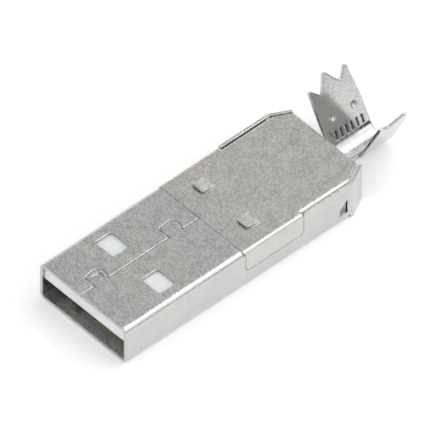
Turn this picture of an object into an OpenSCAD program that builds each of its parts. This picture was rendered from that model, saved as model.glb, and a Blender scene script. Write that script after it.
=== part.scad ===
// USB-A plug for soldering to a cable: one folded sheet-metal shell with a
// cable claw, a clip-on sheet-metal lid, a plastic insulator and four contacts.
// The origin is the centre of the mouth opening, +Y runs towards the cable and
// +Z is the side with the folded seam. The plug rests on its underside.

/* [Shell tube] */
// Outside width of the plug
plug_w = 12; // [10:0.1:16]
// Outside height of the plug
plug_h = 4.5; // [4.4:0.05:6]
// Thickness of the shell's sheet
sheet = 0.3; // [0.2:0.01:0.4]
// Outside radius of the shell's long bends
bend_r = 0.55; // [0.45:0.01:0.8]
// Length of the closed tube, from the mouth to the lid
tube_l = 14.95; // [14:0.05:18]
// Distance from the mouth to the front edge of the spring windows
window_y = 5.6; // [4.5:0.1:7]
// Length of each spring window
window_l = 2.15; // [1.5:0.05:2.5]
// Width of each spring window
window_w = 2.55; // [2:0.05:3]
// Distance between the centres of the two windows of a side
window_pitch = 6.5; // [5:0.1:7]
// Corner radius of the spring windows
window_r = 0.3; // [0.1:0.05:0.6]

/* [Seam] */
// Distance of the seam from the middle of the top
seam_x = 0.25; // [0:0.05:0.6]
// Width of the seam's gap
seam_gap = 0.08; // [0.04:0.01:0.15]
// Distance from the mouth to the first locking key
key_y = 1.8; // [1:0.1:3]
// Distance between the two locking keys
key_pitch = 9.4; // [8:0.1:10]
// Length of a locking key along the seam
key_l = 1.95; // [1.5:0.05:2.5]
// Reach of a locking key across the seam
key_w = 1.42; // [0.9:0.02:1.7]
// Bulge of a locking key's outer edge
key_bulge = 0.18; // [0.05:0.01:0.3]
// Depth of the dovetail notch behind a key
key_notch = 0.25; // [0.1:0.05:0.4]
// Depth of the stake mark pressed into the first key
stake_depth = 0.1; // [0.04:0.01:0.15]

/* [Rear channel] */
// Length of the straight side walls behind the tube
channel_l = 13.5; // [13:0.1:18]
// Length along the plug of the tapered wall ends
taper_l = 2.45; // [1.5:0.05:3]
// Angle by which the wall ends turn inwards
taper_angle = 28; // [15:1:35]
// Inside radius of the bend where the wall ends turn
taper_r = 0.9; // [0.4:0.1:1.5]
// Height above the underside of the latch window in each wall
latch_z = 0.95; // [0.8:0.05:1.2]
// Height of the latch window
latch_h = 1.75; // [1.2:0.05:2]
// Length of the latch window
latch_l = 1; // [0.6:0.05:1.4]
// Distance from the latch window to the bend of the wall end
latch_inset = 0.35; // [0.2:0.05:1]

/* [Lid] */
// Thickness of the lid's sheet
lid_sheet = 0.3; // [0.2:0.01:0.35]
// Outside radius of the lid's bends
lid_bend_r = 0.36; // [0.35:0.01:0.5]
// Gap between the lid and the shell where their edges meet
lid_gap = 0.06; // [0.04:0.01:0.12]
// Length of the lid's full-width front part
lid_front_l = 7.5; // [6:0.1:9]
// Depth of the flush outer flaps
flap_h = 2.55; // [1.5:0.05:2.8]
// Distance of the outer flaps from the lid's front edge
flap_setback = 0.25; // [0.15:0.05:0.5]
// Radius of the outer flaps' lower corners
flap_r = 0.4; // [0.3:0.05:1]
// Depth of the inner flaps, which end above the latch windows
inner_flap_h = 1.7; // [1:0.05:1.75]
// Distance between the outer and the inner flaps
inner_flap_gap = 0.5; // [0.3:0.05:1]
// Distance of the lid's rear edge from the ends of the walls
lid_setback = 0.25; // [0.1:0.05:0.6]
// Width of the raised barbs
barb_w = 1.45; // [1:0.05:2]
// Length of the raised barbs
barb_l = 1.6; // [1.2:0.05:2.2]
// Height of the barbs' raised front edge
barb_rise = 0.28; // [0.1:0.01:0.4]
// Distance from the lid's front edge to the barbs
barb_y = 2.3; // [1.5:0.1:4]
// Distance between the centres of the two barbs
barb_pitch = 6.2; // [4:0.1:8]

/* [Cable claw] */
// Length of the neck between the channel and the claw
neck_l = 1.25; // [1:0.05:3]
// Length of the claw along the plug
claw_l = 5.45; // [4.5:0.05:7]
// Inside radius of the claw's trough
claw_r = 1.5; // [1.2:0.05:2]
// Lean of the ears from upright
ear_lean = 26; // [10:1:30]
// Length of the ears from the trough to the tallest tooth
ear_l = 6.9; // [5:0.1:9]
// Depth of the notches between the teeth
tooth_h = 1.5; // [0.8:0.05:2]
// Distance of the two-toothed ear's front edge behind the claw's front
near_ear_y = 1.85; // [1:0.05:2]
// Diameter of the two dimples in the three-toothed ear
dimple_d = 0.7; // [0.4:0.05:0.9]
// Length of the grip grooves in the ears
groove_l = 0.95; // [0.5:0.05:1.5]
// Depth of the grip grooves
groove_depth = 0.14; // [0.05:0.01:0.18]

/* [Insulator] */
// Distance of the insulator's front face from the mouth
tongue_y = 0.3; // [0.1:0.05:0.6]
// Depth of the mouth's cavity
cavity_l = 8.9; // [8.65:0.05:9.5]
// Thickness of the insulator's tongue
tongue_h = 1.96; // [1.8:0.02:2.05]
// Chamfer of the tongue's lower edges
tongue_chamfer = 0.3; // [0.1:0.05:0.5]
// Length of the insulator's full-height block
block_l = 5.6; // [4:0.1:6]
// Length of the shelf behind the block that carries the solder tails
shelf_l = 3.4; // [2:0.1:5]
// Gap between the insulator and the shell
insulator_gap = 0.03; // [0.02:0.01:0.08]

/* [Contacts] */
// Width of a contact
contact_w = 1; // [0.8:0.05:1.2]
// Thickness of a contact
contact_t = 0.25; // [0.15:0.01:0.3]
// How far the contacts stand proud of the tongue
contact_proud = 0.05; // [0.02:0.01:0.1]
// Distance between the centres of the two inner contacts
inner_pitch = 2; // [1.8:0.05:2.2]
// Distance between the centres of the two outer contacts
outer_pitch = 7; // [6.6:0.05:7.4]
// Distance of the outer contacts' noses from the mouth
outer_nose_y = 1.4; // [1:0.1:2]
// Setback of the inner contacts' noses behind the outer ones
nose_setback = 1; // [0.5:0.1:1.5]
// Length of the solder tails behind the block
tail_l = 5.2; // [3:0.1:5.5]
// Gap between a contact and the groove it lies in
contact_gap = 0.02; // [0.01:0.01:0.05]

/* [Hidden] */

$fn = 48;
half_w = plug_w / 2;
half_h = plug_h / 2;
inner_w = plug_w - 2 * sheet;
inner_h = plug_h - 2 * sheet;
margin = 1; // how far cutters run past what they cut

// Rear channel
knee_y = tube_l + channel_l;          // where the wall ends start to turn inwards
rear_y = knee_y + taper_l;            // rear end of the walls, the floor and the lid
tab_clear = 0.06;                     // slit between the floor's edge and the wall ends
latch_y = knee_y - latch_inset - latch_l;

// Lid
lid_y = tube_l + lid_gap;
lid_step_y = lid_y + lid_front_l;
lid_rear_w = inner_w - 2 * lid_gap;
lid_rear_y = rear_y - lid_setback;
inner_flap_y = lid_step_y + inner_flap_gap;
shear_gap = 0.03;                     // slit round a barb's sheared edges
barb_root = 0.2;                      // length over which a barb's rear joins the lid

// Cable claw
claw_y = rear_y + neck_l;
trough_z = -half_h + sheet + claw_r;  // axis of the trough
trough_half_angle = 90 - ear_lean;
groove_pitch = 0.66;
groove_count = 6;
groove_w = 0.26;
groove_foot = 0.1;                    // distance of the grooves from the trough's bend
ear_corner = 0.3;                     // width of the flat at a tooth's tip

// Insulator and contacts
tongue_top = half_h - sheet - insulator_gap;
tongue_bottom = tongue_top - tongue_h;
block_rear_y = cavity_l + block_l;
contact_bottom = tongue_bottom - contact_proud;
contact_top = contact_bottom + contact_t;
nose_angle = 35;
nose_l = 0.7;
nose_r = 0.25;
nose_pocket_h = nose_l * sin(nose_angle) + contact_t;

// ---------------------------------------------------------------- helpers

// Extrudes an outline drawn in X and Z along Y, from y0 to y1
module along_y(y0, y1) {
    translate([0, y1, 0]) rotate([90, 0, 0]) linear_extrude(y1 - y0) children();
}

// Extrudes an outline drawn in Y and Z along X, over the given width
module along_x(width) {
    rotate([90, 0, 90]) translate([0, 0, -width / 2]) linear_extrude(width) children();
}

module both_sides() {
    children();
    mirror([1, 0, 0]) children();
}

// Rectangle with round corners, centred on the origin
module rounded_rect(size, r) {
    square([size.x - 2 * r, size.y], center = true);
    square([size.x, size.y - 2 * r], center = true);
    for (sx = [-1, 1], sy = [-1, 1])
        translate([sx * (size.x / 2 - r), sy * (size.y / 2 - r)]) circle(r);
}

// Sheet bend seen end on: the part of a ring between two angles, and a hair more
// at each end to join the flat sheet there
module bend(inside_r, thickness, from, to) {
    lap = 0.05;
    reach = 2 * (inside_r + thickness);
    intersection() {
        difference() {
            circle(inside_r + thickness);
            circle(inside_r);
        }
        polygon([[0, 0], for (a = [from - lap, (from + to) / 2, to + lap]) reach * [cos(a), sin(a)]]);
    }
}

// ---------------------------------------------------------------- shell

module tube_section() {
    difference() {
        rounded_rect([plug_w, plug_h], bend_r);
        rounded_rect([inner_w, inner_h], bend_r - sheet);
    }
}

// The channel has the tube's floor and walls, with its top left open
module channel_section() {
    difference() {
        union() {
            rounded_rect([plug_w, plug_h], bend_r);
            translate([-half_w, 0]) square([plug_w, half_h]);
        }
        rounded_rect([inner_w, inner_h], bend_r - sheet);
        translate([-inner_w / 2, 0]) square([inner_w, half_h + margin]);
    }
}

// Plan of one wall end: it leaves the straight wall, bends inwards and runs on
module wall_end_plan() {
    bend_rise = (taper_r + sheet) * sin(taper_angle);
    translate([half_w - sheet - taper_r, knee_y]) {
        bend(taper_r, sheet, 0, taper_angle);
        rotate(taper_angle)
            translate([taper_r, 0]) square([sheet, (taper_l - bend_rise) / cos(taper_angle)]);
    }
}

// Half-width of the rear taper's inside face at a distance behind the knee
function taper_inside(dy) = half_w - sheet - dy * tan(taper_angle);

// The floor carries on between the wall ends and narrows with them
module floor_end() {
    dy = taper_l;
    translate([0, 0, -half_h]) linear_extrude(sheet)
        polygon([[-taper_inside(0) + tab_clear, knee_y - sheet],
            [taper_inside(0) - tab_clear, knee_y - sheet],
            [taper_inside(0) - tab_clear, knee_y],
            [taper_inside(dy) - tab_clear, rear_y],
            [-taper_inside(dy) + tab_clear, rear_y],
            [-taper_inside(0) + tab_clear, knee_y]]);
}

module spring_windows() {
    for (sx = [-1, 1])
        translate([sx * window_pitch / 2, window_y + window_l / 2, -half_h - margin])
            linear_extrude(plug_h + 2 * margin) rounded_rect([window_w, window_l], window_r);
}

// Outline of the sheet on the seam's key side, moved by half the seam's gap
module key_side(grow) {
    corner = 0.35;
    bulge_r = (key_bulge * key_bulge + key_l * key_l / 4) / (2 * key_bulge);
    reach = key_w + key_bulge;
    translate([-seam_x - grow, -margin]) square([half_w, tube_l + 2 * margin]);
    for (i = [0, 1]) translate([-seam_x, key_y + i * key_pitch]) {
        intersection() {
            translate([bulge_r - reach, key_l / 2]) circle(bulge_r + grow);
            union() {
                translate([-reach - grow, -grow]) square([reach + grow, key_l - corner + grow]);
                translate([-key_w + corner, key_l - corner]) circle(corner + grow);
                translate([-key_w + corner, 0])
                    square([key_w - corner - 2 * key_notch, key_l + grow]);
            }
        }
        polygon([[-2 * key_notch, -grow], [-2 * key_notch, key_l + grow],
            [-key_notch, key_l - key_notch + grow], [margin, key_l - key_notch + grow],
            [margin, -grow]]);
    }
}

module seam() {
    translate([0, 0, half_h - sheet - margin / 2]) linear_extrude(sheet + margin)
        intersection() {
            difference() {
                key_side(seam_gap / 2);
                key_side(-seam_gap / 2);
            }
            translate([-half_w / 2, -margin]) square([half_w / 2 + margin, tube_l + margin]);
        }
}

// Shallow mark that locks the first key
module stake_mark() {
    translate([-seam_x - key_w * 0.55, key_y + key_l * 0.52, half_h - stake_depth])
        linear_extrude(margin) rounded_rect([0.7, 1.15], 0.2);
}

// Room in the walls for the lid's front part and its outer flaps
module flap_cutouts() {
    top_z = half_h - lid_sheet - lid_gap;
    flap_y0 = lid_y + flap_setback - lid_gap;
    flap_y1 = lid_step_y + lid_gap;
    flap_z = half_h - flap_h - lid_gap;
    along_x(plug_w + 2 * margin) {
        translate([tube_l, top_z]) square([flap_y1 - tube_l, half_h]);
        translate([(flap_y0 + flap_y1) / 2, flap_z + half_h])
            rounded_rect([flap_y1 - flap_y0, 2 * half_h], flap_r);
    }
}

// Latch window with its upper front corner left filled
module latch_windows() {
    fill = latch_h * 0.53;
    along_x(plug_w + 2 * margin)
        translate([latch_y, -half_h + latch_z])
            polygon([[0, 0], [latch_l, 0], [latch_l, latch_h], [0, latch_h - fill]]);
}

// Section across the claw: the round trough with a straight ear on each side
module claw_section() {
    translate([0, trough_z]) {
        bend(claw_r, sheet, -90 - trough_half_angle, -90 + trough_half_angle);
        for (side = [0, 1]) mirror([side, 0])
            rotate(-ear_lean) translate([claw_r, 0]) square([sheet, ear_l]);
    }
}

// Outlines of the two ears, as distance along the plug and length from the trough
far_ear = [[0.15, 0], [claw_l, 0], [claw_l - 0.1, ear_l * 0.43], [claw_l - 0.5, ear_l - 0.6],
    [claw_l - 0.5 - ear_corner, ear_l - 0.4], [claw_l * 0.73, ear_l - tooth_h],
    [claw_l * 0.66, ear_l - tooth_h], [claw_l * 0.45, ear_l], [claw_l * 0.39, ear_l - 0.1],
    [claw_l * 0.24, ear_l - tooth_h - 0.4], [ear_corner, ear_l - 0.95], [0, ear_l - 1.05]];
near_ear = [[near_ear_y, 0], [claw_l, 0], [claw_l, ear_l * 0.62], [claw_l - 0.6, ear_l - 0.5],
    [claw_l - 0.6 - ear_corner, ear_l - 0.5], [claw_l * 0.58, ear_l - tooth_h - 0.1],
    [claw_l * 0.53, ear_l - tooth_h - 0.1], [near_ear_y - 0.15 + ear_corner, ear_l - 0.7],
    [near_ear_y - 0.2, ear_l - 0.75]];

// Places children on the inside face of the ear at +X: x along the plug, y up the ear
module on_ear() {
    translate([claw_r * cos(ear_lean), claw_y, trough_z - claw_r * sin(ear_lean)])
        rotate([0, ear_lean, 0]) rotate([90, 0, 90]) children();
}

// Everything outside an ear's outline
module ear_cutter(outline) {
    foot = 0.3; // the cut stays clear of the trough's bend
    on_ear() translate([0, 0, -margin]) linear_extrude(sheet + 2 * margin) difference() {
        translate([-margin, foot]) square([claw_l + 2 * margin, ear_l]);
        polygon(outline);
    }
}

// Grip grooves pressed across the foot of an ear
module ear_grooves(first, last) {
    start = (claw_l - (groove_count - 1) * groove_pitch) / 2 + 0.3;
    on_ear() for (i = [first:last])
        translate([start + i * groove_pitch - groove_w / 2, groove_foot, -margin])
            cube([groove_w, groove_l, margin + groove_depth]);
}

module ear_dimples() {
    depth = sheet * 0.6;
    ball_r = (dimple_d * dimple_d / 4 + depth * depth) / (2 * depth);
    on_ear() for (y = [claw_l * 0.3, claw_l * 0.78])
        translate([y, ear_l * 0.35, depth - ball_r]) sphere(ball_r);
}

// The neck turns from the flat floor into the round trough: its section keeps
// one length while its curvature grows from nothing to the trough's
neck_rows = 10;
neck_cols = 12;
neck_half = (claw_r + sheet / 2) * trough_half_angle * PI / 180;
function neck_point(u, v, y, offset) =
    let (angle = trough_half_angle * v, r = neck_half / (angle * PI / 180), a = u * angle)
    [(r + offset) * sin(a), y, -half_h + sheet / 2 + r - (r + offset) * cos(a)];
// The last row lies inside the trough's sheet, to join it
function neck_sheet(offset) = [for (i = [0:neck_rows], j = [0:neck_cols])
    let (v = min(1, i / (neck_rows - 1)), y = rear_y - sheet + v * (neck_l + sheet))
    neck_point(2 * j / neck_cols - 1, max(v, 0.001), i < neck_rows ? y : y + sheet / 4, offset)];

module neck() {
    n = (neck_rows + 1) * (neck_cols + 1);
    row = neck_cols + 1;
    skin = 0.004; // keeps the neck's end just inside the trough's sheet
    polyhedron(concat(neck_sheet(sheet / 2 - skin), neck_sheet(-sheet / 2 + skin)), concat(
        [for (i = [0:neck_rows - 1], j = [0:neck_cols - 1])
            [i * row + j, i * row + j + 1, (i + 1) * row + j + 1, (i + 1) * row + j]],
        [for (i = [0:neck_rows - 1], j = [0:neck_cols - 1])
            [n + i * row + j, n + (i + 1) * row + j, n + (i + 1) * row + j + 1, n + i * row + j + 1]],
        [for (j = [0:neck_cols - 1]) [j, n + j, n + j + 1, j + 1]],
        [for (j = [0:neck_cols - 1]) let (k = neck_rows * row)
            [k + j, k + j + 1, n + k + j + 1, n + k + j]],
        [for (i = [0:neck_rows - 1]) [i * row, (i + 1) * row, n + (i + 1) * row, n + i * row]],
        [for (i = [0:neck_rows - 1]) let (k = neck_cols)
            [i * row + k, n + i * row + k, n + (i + 1) * row + k, (i + 1) * row + k]]));
}

module claw() {
    difference() {
        along_y(claw_y, claw_y + claw_l) claw_section();
        ear_cutter(near_ear);
        mirror([1, 0, 0]) ear_cutter(far_ear);
        // the near ear starts further back, so the trough is cut away before it
        translate([claw_r * 0.7, claw_y - margin, trough_z - claw_r])
            cube([claw_r, margin + near_ear_y, claw_r]);
        ear_grooves(2, groove_count - 1);
        mirror([1, 0, 0]) ear_grooves(0, groove_count - 1);
        mirror([1, 0, 0]) ear_dimples();
    }
}

module shell() color([0.74, 0.74, 0.72]) {
    difference() {
        union() {
            along_y(0, tube_l) tube_section();
            along_y(tube_l, knee_y) channel_section();
        }
        spring_windows();
        seam();
        stake_mark();
        flap_cutouts();
        latch_windows();
    }
    both_sides() translate([0, 0, -half_h]) linear_extrude(plug_h) wall_end_plan();
    floor_end();
    neck();
    claw();
}

// ---------------------------------------------------------------- lid

// Bent cap seen end on: a top with a flap down each side
module cap_section(width, depth) {
    difference() {
        translate([0, half_h - depth]) rounded_rect([width, 2 * depth], lid_bend_r);
        translate([0, half_h - lid_sheet - depth])
            rounded_rect([width - 2 * lid_sheet, 2 * depth], lid_bend_r - lid_sheet);
        translate([-width, half_h - 2 * depth - margin]) square([2 * width, depth + margin]);
    }
}

// Side view of the front part: the top's strip and the flap with round corners
module outer_flap_side() {
    translate([lid_y, half_h - lid_sheet]) square([lid_front_l, lid_sheet + margin]);
    translate([lid_y + (lid_front_l + flap_setback) / 2, half_h])
        rounded_rect([lid_front_l - flap_setback, 2 * flap_h], flap_r - lid_gap);
}

module inner_flap_side() {
    flap_l = knee_y - lid_gap - inner_flap_y;
    translate([lid_step_y - margin, half_h - lid_sheet])
        square([lid_rear_y - lid_step_y + margin, lid_sheet + margin]);
    translate([inner_flap_y + flap_l / 2, half_h])
        rounded_rect([flap_l, 2 * inner_flap_h], flap_r);
}

// Plan of the lid, narrowing between the wall ends
module lid_plan() {
    gap = lid_gap / cos(taper_angle);
    polygon([[-half_w - margin, lid_y - margin], [half_w + margin, lid_y - margin],
        [half_w + margin, lid_step_y], [lid_rear_w / 2, lid_step_y],
        [lid_rear_w / 2, knee_y], [taper_inside(lid_rear_y - knee_y) - gap, lid_rear_y],
        [-taper_inside(lid_rear_y - knee_y) + gap, lid_rear_y], [-lid_rear_w / 2, knee_y],
        [-lid_rear_w / 2, lid_step_y], [-half_w - margin, lid_step_y]]);
}

// Plan of a barb's sheared edges, moved outwards, and running on at its rear
module barb_plan(grow, run_on) {
    corner = 0.25;
    translate([-barb_w / 2 + corner, -grow]) square([barb_w - 2 * corner, barb_l + grow + run_on]);
    translate([-barb_w / 2 - grow, corner])
        square([barb_w + 2 * grow, barb_l - corner + run_on]);
    for (sx = [-1, 1]) translate([sx * (barb_w / 2 - corner), corner]) circle(corner + grow);
}

// Tongue lanced out of the lid: its front edge stands up, its rear is flush
module barb() {
    slope = atan(barb_rise / barb_l);
    intersection() {
        translate([0, 0, half_h - lid_sheet - margin]) linear_extrude(lid_sheet + 2 * margin)
            barb_plan(0, barb_root);
        translate([0, barb_l, half_h]) rotate([-slope, 0, 0])
            translate([-barb_w, -2 * barb_l, -lid_sheet])
                cube([2 * barb_w, 2 * barb_l + 2 * barb_root, lid_sheet]);
    }
}

module lid() color([0.66, 0.67, 0.64]) {
    difference() {
        union() {
            intersection() {
                along_y(lid_y, lid_step_y) cap_section(plug_w, flap_h);
                along_x(plug_w) outer_flap_side();
            }
            intersection() {
                along_y(lid_step_y, lid_rear_y) cap_section(lid_rear_w, inner_flap_h);
                along_x(plug_w) inner_flap_side();
            }
        }
        translate([0, 0, half_h - lid_sheet - margin]) linear_extrude(lid_sheet + 2 * margin)
            difference() {
                translate([-plug_w, lid_y - margin]) square([2 * plug_w, rear_y - lid_y + 2 * margin]);
                lid_plan();
            }
        for (sx = [-1, 1]) translate([sx * barb_pitch / 2, lid_y + barb_y, half_h - lid_sheet - margin])
            linear_extrude(lid_sheet + 2 * margin) barb_plan(shear_gap, 0);
    }
    for (sx = [-1, 1]) translate([sx * barb_pitch / 2, lid_y + barb_y, 0]) barb();
}

// ---------------------------------------------------------------- insulator

module tongue_section() {
    half = inner_w / 2 - insulator_gap;
    polygon([[-half, tongue_top], [half, tongue_top], [half, tongue_bottom + tongue_chamfer],
        [half - tongue_chamfer, tongue_bottom], [-half + tongue_chamfer, tongue_bottom],
        [-half, tongue_bottom + tongue_chamfer]]);
}

module block_section() {
    rounded_rect([inner_w - 2 * insulator_gap, inner_h - 2 * insulator_gap], bend_r - sheet);
}

// Room for one contact: the strip, and a deeper pocket for its nose
module contact_groove(x, nose_y) {
    w = contact_w + 2 * contact_gap;
    top = contact_top + contact_gap;
    translate([x - w / 2, nose_y - contact_gap, contact_bottom])
        cube([w, block_rear_y - nose_y + margin, top - contact_bottom]);
    translate([x - w / 2, nose_y - contact_gap, contact_bottom])
        cube([w, nose_l + nose_r, nose_pocket_h + contact_gap]);
}

module insulator() color([0.93, 0.94, 0.96]) difference() {
    union() {
        along_y(tongue_y, cavity_l) intersection() {
            tongue_section();
            block_section();
        }
        along_y(cavity_l, block_rear_y) block_section();
        along_y(block_rear_y, block_rear_y + shelf_l) intersection() {
            block_section();
            translate([-half_w, -half_h]) square([plug_w, half_h + contact_bottom]);
        }
    }
    for (c = contacts) contact_groove(c[0], c[1]);
    // lead-in along the tongue's front lower edge
    along_x(plug_w) polygon([[tongue_y - margin, tongue_bottom - margin],
        [tongue_y + tongue_chamfer + margin, tongue_bottom - margin],
        [tongue_y - margin, tongue_bottom + tongue_chamfer + margin]]);
}

// ---------------------------------------------------------------- contacts

// Place across the plug and nose distance of each contact, from power to ground
contacts = [[outer_pitch / 2, outer_nose_y], [inner_pitch / 2, outer_nose_y + nose_setback],
    [-inner_pitch / 2, outer_nose_y + nose_setback], [-outer_pitch / 2, outer_nose_y]];

// Side view of a contact: a nose that dips into the tongue, then a straight strip
module contact_side(nose_y) {
    bend_centre = [nose_y + nose_l * cos(nose_angle) + (nose_r + contact_t) * sin(nose_angle),
        contact_bottom + contact_t + nose_r];
    translate(bend_centre) {
        bend(nose_r, contact_t, -90 - nose_angle, -90);
        rotate(-nose_angle) translate([-nose_l, -nose_r - contact_t]) square([nose_l, contact_t]);
    }
    translate([bend_centre.x, contact_bottom])
        square([block_rear_y + tail_l - bend_centre.x, contact_t]);
}

module contact(index) color([0.85, 0.7, 0.35])
    translate([contacts[index][0], 0, 0]) along_x(contact_w) contact_side(contacts[index][1]);

shell();
lid();
insulator();
contact(0);  // contact_power
contact(1);  // contact_data_minus
contact(2);  // contact_data_plus
contact(3);  // contact_ground
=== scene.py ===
import math

import bpy
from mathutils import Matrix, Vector


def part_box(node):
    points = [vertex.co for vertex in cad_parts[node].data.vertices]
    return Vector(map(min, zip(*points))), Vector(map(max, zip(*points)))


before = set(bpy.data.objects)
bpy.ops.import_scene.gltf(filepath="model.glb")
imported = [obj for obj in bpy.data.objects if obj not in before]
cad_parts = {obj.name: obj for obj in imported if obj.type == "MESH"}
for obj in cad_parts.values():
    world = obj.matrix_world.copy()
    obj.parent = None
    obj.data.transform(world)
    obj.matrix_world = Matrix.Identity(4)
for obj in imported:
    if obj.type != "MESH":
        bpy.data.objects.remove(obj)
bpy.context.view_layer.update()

MM = 0.001  # metres

shell_low, shell_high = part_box("shell")
middle = (shell_low + shell_high) / 2


# ---- Texture blocks: every length in them is in millimetres ----


def coordinates(tree, stretch=(1, 1, 1)):
    """The piece's own coordinates in millimetres; a stretch under 1 draws the pattern out."""
    place = tree.nodes.new("ShaderNodeTexCoord")
    scale = tree.nodes.new("ShaderNodeVectorMath")
    scale.operation = "MULTIPLY"
    scale.inputs[1].default_value = [factor / MM for factor in stretch]
    tree.links.new(place.outputs["Object"], scale.inputs[0])
    return scale.outputs[0]


def noise(tree, size, detail, stretch=(1, 1, 1)):
    """Soft spots about one size across, as a value from 0 to 1."""
    spots = tree.nodes.new("ShaderNodeTexNoise")
    spots.inputs["Scale"].default_value = 1 / size
    spots.inputs["Detail"].default_value = detail
    tree.links.new(coordinates(tree, stretch), spots.inputs["Vector"])
    return spots.outputs["Fac"]


def crystals(tree, size):
    """The crystals of a plated sheet, each with its own value from 0 to 1."""
    cells = tree.nodes.new("ShaderNodeTexVoronoi")
    cells.inputs["Scale"].default_value = 1 / size
    tree.links.new(coordinates(tree), cells.inputs["Vector"])
    value = tree.nodes.new("ShaderNodeSeparateColor")
    tree.links.new(cells.outputs["Color"], value.inputs["Color"])
    return value.outputs["Red"]


def combine(tree, operation, first, second):
    """One sum; first and second are outputs or plain numbers."""
    step = tree.nodes.new("ShaderNodeMath")
    step.operation = operation
    for socket, value in zip(step.inputs, (first, second)):
        if isinstance(value, (int, float)):
            socket.default_value = value
        else:
            tree.links.new(value, socket)
    return step.outputs[0]


def weighted_sum(tree, *weighted):
    """Adds up (weight, value) pairs."""
    total = combine(tree, "MULTIPLY", weighted[0][1], weighted[0][0])
    for weight, value in weighted[1:]:
        total = combine(tree, "ADD", total, combine(tree, "MULTIPLY", value, weight))
    return total


def spread(tree, value, low, high, start=0.35, end=0.65):
    """Turns a value between start and end into one between low and high."""
    stretch = tree.nodes.new("ShaderNodeMapRange")
    for name, number in (
        ("From Min", start), ("From Max", end), ("To Min", low), ("To Max", high)
    ):
        stretch.inputs[name].default_value = number
    tree.links.new(value, stretch.inputs["Value"])
    return stretch.outputs[0]


def tint(tree, value, first, second, start=0.35, end=0.65):
    """The first colour up to start, the second from end on, and a blend between them."""
    ramp = tree.nodes.new("ShaderNodeValToRGB")
    for stop, place, colour in zip(ramp.color_ramp.elements, (start, end), (first, second)):
        stop.position = place
        stop.color = (*colour, 1)
    tree.links.new(value, ramp.inputs["Fac"])
    return ramp.outputs["Color"]


def scaled_colour(tree, colour, factor):
    """A colour made lighter or darker by a factor."""
    scale = tree.nodes.new("ShaderNodeVectorMath")
    scale.operation = "SCALE"
    tree.links.new(colour, scale.inputs[0])
    tree.links.new(factor, scale.inputs["Scale"])
    return scale.outputs[0]


def soft_edges(tree, radius):
    """The surface's normal, with every edge eased to that radius."""
    edge = tree.nodes.new("ShaderNodeBevel")
    edge.samples = 4
    edge.inputs["Radius"].default_value = radius * MM
    return edge.outputs["Normal"]


def relief(tree, height, depth, below=None, strength=None):
    """A bump of that depth, laid over the normal below."""
    bump = tree.nodes.new("ShaderNodeBump")
    bump.inputs["Distance"].default_value = depth * MM
    tree.links.new(height, bump.inputs["Height"])
    if strength:
        tree.links.new(strength, bump.inputs["Strength"])
    if below:
        tree.links.new(below, bump.inputs["Normal"])
    return bump.outputs["Normal"]


UPRIGHT = (0.94, 0.99)


def flat_faces(tree, elsewhere):
    """1 on faces that look straight up or down, and the value elsewhere on all others."""
    place = tree.nodes.new("ShaderNodeTexCoord")
    axes = tree.nodes.new("ShaderNodeSeparateXYZ")
    tree.links.new(place.outputs["Normal"], axes.inputs[0])
    upright = combine(tree, "ABSOLUTE", axes.outputs["Z"], 0)
    return spread(tree, upright, elsewhere, 1, *UPRIGHT)


# The occlusion values between sheltered and open, over which the painted shade fades out.
SHELTERED_TO_OPEN = (0.3, 0.95)


def painted_recess_shade(tree, reach, darkest):
    """Painted shade: a factor from darkest, deep in a slit or corner of that reach, up to 1 in
    the open, that darkens the colour where light is shut out.
    """
    occlusion = tree.nodes.new("ShaderNodeAmbientOcclusion")
    occlusion.samples = 8
    occlusion.only_local = True
    occlusion.inputs["Distance"].default_value = reach * MM
    return spread(tree, occlusion.outputs["AO"], darkest, 1, *SHELTERED_TO_OPEN)


def new_material(name):
    material = bpy.data.materials.new(name)
    material.use_nodes = True
    return material, material.node_tree, material.node_tree.nodes["Principled BSDF"]


def shades(colour, factors):
    """The colour times each factor in turn."""
    return [tuple(channel * factor for channel in colour) for factor in factors]


# ---- Finishes: sizes and depths in millimetres ----

GRAIN = 0.2
CLOUD = 1.2
HUE_PATCH = 7
ROLLING_LINE = 0.1
ALONG_THE_STRIP = (1, 0.06, 1)
GRAIN_DEPTH = 0.02
ROLLING_DEPTH = 0.0008
SHEET_EDGE = 0.25
# Painted shade in slits, seams and corners: how far it reaches and how dark it gets.
PAINTED_SHADE_REACH = 0.4
PAINTED_SHADE_DARKEST = 0.25
# Where most values of the sheet's speckle and of its hue patches lie.
SPECKLE_RANGE = (0.36, 0.62)
HUE_RANGE = (0.4, 0.6)
# How far the roughness rises in dark speckle and falls in bright speckle.
DULLER, BRIGHTER = 0.05, 0.04
# The bending dies burnish the walls and the claw: less mottle there, and a brighter polish.
BURNISHED_MOTTLE = 0.2
BURNISHED_POLISH = 0.6


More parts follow.
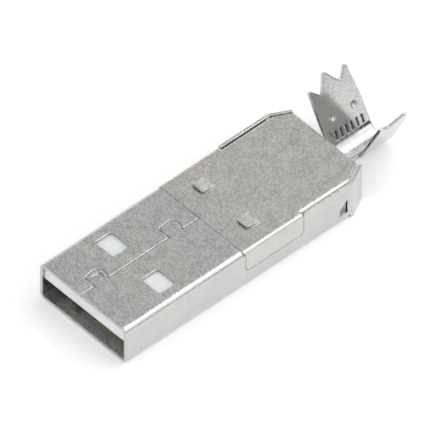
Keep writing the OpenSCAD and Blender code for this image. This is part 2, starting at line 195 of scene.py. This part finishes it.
def plated_sheet(name, cool, warm, contrast, rough):
    """Nickel-plated strip: fine grain, soft clouds, faint lines along the strip and painted
    shade in slits and corners.
    """
    material, tree, shader = new_material(name)
    fine = noise(tree, GRAIN, 2)
    grain = crystals(tree, GRAIN)
    clouds = noise(tree, CLOUD, 4)
    lines = noise(tree, ROLLING_LINE, 2, ALONG_THE_STRIP)
    speckle = weighted_sum(tree, (0.4, fine), (0.2, grain), (0.3, clouds), (0.1, lines))
    mottled = flat_faces(tree, BURNISHED_MOTTLE)

    tone = spread(tree, speckle, -contrast, contrast, *SPECKLE_RANGE)
    tone = combine(tree, "ADD", combine(tree, "MULTIPLY", tone, mottled), 1)
    # Painted shade: the colour darkens in slits, seams and corners.
    tone = combine(tree, "MULTIPLY", tone, painted_recess_shade(tree, PAINTED_SHADE_REACH, PAINTED_SHADE_DARKEST))
    hue = tint(tree, noise(tree, HUE_PATCH, 2), cool, warm, *HUE_RANGE)
    tree.links.new(scaled_colour(tree, hue, tone), shader.inputs["Base Color"])

    satin = spread(tree, speckle, rough + DULLER, rough - BRIGHTER)
    polish = spread(tree, mottled, BURNISHED_POLISH, 1, BURNISHED_MOTTLE, 1)
    tree.links.new(combine(tree, "MULTIPLY", satin, polish), shader.inputs["Roughness"])

    pits = relief(tree, fine, GRAIN_DEPTH, soft_edges(tree, SHEET_EDGE), mottled)
    tree.links.new(relief(tree, lines, ROLLING_DEPTH, pits), shader.inputs["Normal"])
    shader.inputs["Metallic"].default_value = 1
    return material


FLOW_MARK = 1.1
PLASTIC_GRAIN = 0.08
PLASTIC_DEPTH = 0.003
PLASTIC_EDGE = 0.12
PLASTIC_SHADES = (0.95, 1.03)
PLASTIC_ROUGHNESS = (0.38, 0.52)


def moulded_plastic(name, colour):
    """White moulded plastic, slightly matte, with a faint flow mottle."""
    material, tree, shader = new_material(name)
    flow = noise(tree, FLOW_MARK, 4)
    grain = noise(tree, PLASTIC_GRAIN, 2)
    mottle = tint(tree, flow, *shades(colour, PLASTIC_SHADES))
    tree.links.new(mottle, shader.inputs["Base Color"])
    tree.links.new(spread(tree, grain, *PLASTIC_ROUGHNESS), shader.inputs["Roughness"])
    texture = relief(tree, grain, PLASTIC_DEPTH, soft_edges(tree, PLASTIC_EDGE))
    tree.links.new(texture, shader.inputs["Normal"])
    return material


WEAR_LINE = 0.12
ALONG_THE_CONTACT = (1, 0.1, 1)
WEAR_SPOT = 0.5
WEAR_DEPTH = 0.002
GOLD_SHADES = (0.86, 1.06)
GOLD_ROUGHNESS = (0.34, 0.2)


def plated_contact(name, colour):
    """Thin gold plating with soft wear lines along the contact."""
    material, tree, shader = new_material(name)
    scuffs = noise(tree, WEAR_LINE, 3, ALONG_THE_CONTACT)
    spots = noise(tree, WEAR_SPOT, 3)
    wear = weighted_sum(tree, (0.6, scuffs), (0.4, spots))
    tone = tint(tree, wear, *shades(colour, GOLD_SHADES))
    tree.links.new(tone, shader.inputs["Base Color"])
    tree.links.new(spread(tree, wear, *GOLD_ROUGHNESS), shader.inputs["Roughness"])
    tree.links.new(relief(tree, scuffs, WEAR_DEPTH), shader.inputs["Normal"])
    shader.inputs["Metallic"].default_value = 1
    return material


def dress(node, material):
    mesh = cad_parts[node].data
    mesh.materials.clear()
    mesh.materials.append(material)


gold = plated_contact("contact_metal", (0.82, 0.7, 0.46))
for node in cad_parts:
    if node.startswith("contact_"):
        dress(node, gold)
dress("shell", plated_sheet(
    "shell_sheet", cool=(0.595, 0.61, 0.61), warm=(0.625, 0.62, 0.6), contrast=0.25, rough=0.23
))
dress("lid", plated_sheet(
    "lid_sheet", cool=(0.62, 0.625, 0.6), warm=(0.66, 0.635, 0.59), contrast=0.24, rough=0.25
))
dress("insulator", moulded_plastic("insulator_plastic", (0.86, 0.885, 0.9)))

# ---- Floor: white to the camera and in reflections, and it keeps the shadow ----

FLOOR_SIZE = 0.8
FLOOR_GAP = 0.02 * MM
FLOOR_WHITE = 0.9
FLOOR_LIFT = 0.24


def floor_material():
    material, tree, shader = new_material("floor_white")
    shader.inputs["Base Color"].default_value = (FLOOR_WHITE, FLOOR_WHITE, FLOOR_WHITE, 1)
    shader.inputs["Roughness"].default_value = 0.9
    shader.inputs["Specular IOR Level"].default_value = 0
    ray = tree.nodes.new("ShaderNodeLightPath")
    seen = combine(tree, "MAXIMUM", ray.outputs["Is Camera Ray"], ray.outputs["Is Glossy Ray"])
    seen = combine(tree, "MAXIMUM", seen, ray.outputs["Is Transmission Ray"])
    lift = combine(tree, "MULTIPLY", seen, FLOOR_LIFT)
    shader.inputs["Emission Color"].default_value = (1, 1, 1, 1)
    tree.links.new(lift, shader.inputs["Emission Strength"])
    return material


bpy.ops.mesh.primitive_plane_add(
    size=FLOOR_SIZE, location=(middle.x, middle.y, shell_low.z - FLOOR_GAP)
)
floor = bpy.context.object
floor.name = "floor"
floor.data.materials.append(floor_material())

# ---- Light: white walls, a dimmer ceiling, three soft lamps and a dark card ----

WALL_LIGHT = 1
WALL_TOP = 0.32
CEILING_LIGHT = 0.4
CEILING_START = 0.88


def studio_walls(tree):
    """The walls fade into the ceiling between two heights, as parts of straight up."""
    way = tree.nodes.new("ShaderNodeTexCoord")
    height = tree.nodes.new("ShaderNodeSeparateXYZ")
    tree.links.new(way.outputs["Generated"], height.inputs[0])
    level = spread(
        tree, height.outputs["Z"], WALL_LIGHT, CEILING_LIGHT, WALL_TOP, CEILING_START
    )
    background = tree.nodes["Background"]
    tree.links.new(level, background.inputs["Strength"])
    background.inputs["Color"].default_value = (1, 1, 1, 1)


world = bpy.data.worlds.new("studio")
world.use_nodes = True
studio_walls(world.node_tree)
bpy.context.scene.world = world


def direction(azimuth, elevation):
    """The way from the plug to a lamp, card or camera there, in degrees; azimuth 0 is -Y."""
    around, up = math.radians(azimuth), math.radians(elevation)
    return Vector((
        math.sin(around) * math.cos(up),
        -math.cos(around) * math.cos(up),
        math.sin(up),
    ))


def facing(away):
    """The turn that points a lamp, card or camera back at the plug."""
    return away.to_track_quat("Z", "Y").to_euler()


LAMP_DISTANCE = 0.35


def softbox(name, azimuth, elevation, size, radiance):
    """A square lamp aimed at the plug."""
    lamp = bpy.data.lights.new(name, "AREA")
    lamp.size = size
    lamp.energy = radiance * math.pi * size**2
    box = bpy.data.objects.new(name, lamp)
    bpy.context.scene.collection.objects.link(box)
    away = direction(azimuth, elevation)
    box.location = middle + away * LAMP_DISTANCE
    box.rotation_euler = facing(away)


softbox("key", azimuth=20, elevation=60, size=0.16, radiance=1.5)
softbox("edge_light", azimuth=122, elevation=33, size=0.3, radiance=0.8)
softbox("rear_panel", azimuth=175, elevation=64, size=0.24, radiance=1.5)


def flag(azimuth, distance, width, height):
    """A dark card low beside the plug, seen only in reflections: the line under the bends."""
    away = direction(azimuth, 0)
    centre = middle + away * distance + Vector((0, 0, height / 2))
    bpy.ops.mesh.primitive_plane_add(size=1, location=centre)
    card = bpy.context.object
    card.name = "flag"
    card.scale = (width, height, 1)
    card.rotation_euler = facing(away)
    material, _, shader = new_material("flag_black")
    shader.inputs["Base Color"].default_value = (0.02, 0.02, 0.02, 1)
    card.data.materials.append(material)
    card.visible_camera = card.visible_diffuse = card.visible_shadow = False


flag(azimuth=120, distance=0.15, width=0.3, height=0.05)

# ---- Camera: far off and without perspective, as a long lens sees the plug ----

# The width and the point in the middle of the view, matched to the photo's outline.
VIEW_WIDTH = 41.65 * MM
LOOK_AT = Vector((0, 17.6, 0.08)) * MM
CAMERA_AZIMUTH, CAMERA_ELEVATION = 47.8, 46.3
CAMERA_DISTANCE = 0.3
camera = bpy.data.cameras.new("camera")
camera.type = "ORTHO"
camera.ortho_scale = VIEW_WIDTH
camera.clip_start, camera.clip_end = 0.01, 2
eye = bpy.data.objects.new("camera", camera)
bpy.context.scene.collection.objects.link(eye)
towards_camera = direction(CAMERA_AZIMUTH, CAMERA_ELEVATION)
eye.location = LOOK_AT + towards_camera * CAMERA_DISTANCE
eye.rotation_euler = facing(towards_camera)
bpy.context.scene.camera = eye

bpy.context.scene.view_settings.view_transform = "Standard"
